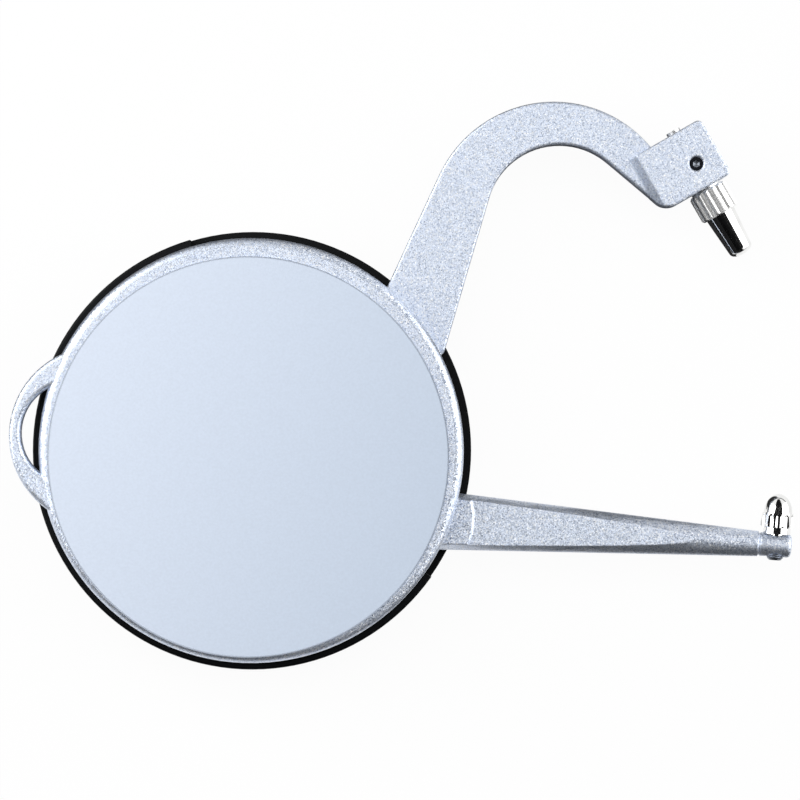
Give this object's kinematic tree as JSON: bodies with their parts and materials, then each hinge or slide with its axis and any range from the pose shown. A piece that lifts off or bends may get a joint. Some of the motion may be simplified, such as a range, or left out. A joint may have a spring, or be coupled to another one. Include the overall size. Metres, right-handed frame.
{
  "type": "digital thickness gauge",
  "caption": "Pocket thickness gauge: round black case, silver cast back with a fixed arm and a small loop, and a swan-necked moving arm, with a plated contact on each arm.",
  "frame": {"origin": "on the moving arm's pivot axis, in the plane of the front rim that the gauge lies on", "axes": "+Z out of the back label, +X to the right towards the two contacts and +Y up, in a view square on the back"},
  "size_m": [0.107, 0.0777, 0.0162],
  "materials": {
    "cast_silver": "silver metallic paint with a fine sparkle",
    "case_black": "satin black moulding",
    "label_film": "pale blue-grey label, bare",
    "nickel": "bright nickel plate",
    "black_steel": "blackened steel",
    "ground_steel": "ground steel",
    "spring_steel": "spring steel",
    "bronze": "sintered bronze",
    "lens_clear": "clear acrylic",
    "lcd_glass": "display glass",
    "elastomer": "conductive elastomer strip",
    "board_green": "solder mask",
    "resin_black": "black potting resin",
    "key_grey": "grey moulded key",
    "mat_rubber": "silicone rubber",
    "cell_steel": "nickel-plated can",
    "cap_black": "black moulding",
    "seal_rubber": "nitrile rubber",
    "contact_gold": "gold-plated spring strip",
    "screw_zinc": "zinc-plated steel"
  },
  "bodies": {
    "case": {"front_housing": "case_black", "rear_casting": "cast_silver", "back_label": "label_film", "lower_contact": "nickel", "pivot_shaft": "ground_steel", "spring_washer": "spring_steel", "thrust_washer": "spring_steel", "retaining_ring": "spring_steel", "stop_pin": "ground_steel", "main_board": "board_green", "controller_chip": "resin_black", "display_lens": "lens_clear", "lcd_panel": "lcd_glass", "zebra_strip": "elastomer", "key_mat": "mat_rubber", "battery_cell": "cell_steel", "cell_contact_top": "contact_gold", "cell_contact_side": "contact_gold", "case_screws": "screw_zinc", "board_screws": "screw_zinc"},
    "arm": {"hook_arm": "cast_silver", "upper_contact": "nickel", "contact_set_screw": "black_steel", "pivot_bushes": "bronze", "encoder_rotor": "board_green"},
    "cap": {"battery_cap": "cap_black", "battery_cap_seal": "seal_rubber"},
    "key_left": {"button_left": "key_grey"},
    "key_middle": {"button_middle": "key_grey"},
    "key_right": {"button_right": "key_grey"}
  },
  "joints": [
    {"name": "arm_pivot", "type": "hinge", "parent": "case", "child": "arm", "pos_m": [0, 0, 0.009], "axis": [0, 0, 1], "range_deg": [-26.3, 13]},
    {"name": "cap_turn", "type": "hinge", "parent": "case", "child": "cap", "pos_m": [0, -0.0196, 0], "axis": [0, 0, -1], "range_deg": [0, 50]},
    {"name": "key_left_press", "type": "slide", "parent": "case", "child": "key_left", "axis": [0, 0, 1], "range_m": [0, 0.0005], "stiffness_N_per_m": 200, "springref_m": -0.0005},
    {"name": "key_middle_press", "type": "slide", "parent": "case", "child": "key_middle", "axis": [0, 0, 1], "range_m": [0, 0.0005], "stiffness_N_per_m": 200, "springref_m": -0.0005},
    {"name": "key_right_press", "type": "slide", "parent": "case", "child": "key_right", "axis": [0, 0, 1], "range_m": [0, 0.0005], "stiffness_N_per_m": 200, "springref_m": -0.0005}
  ]
}
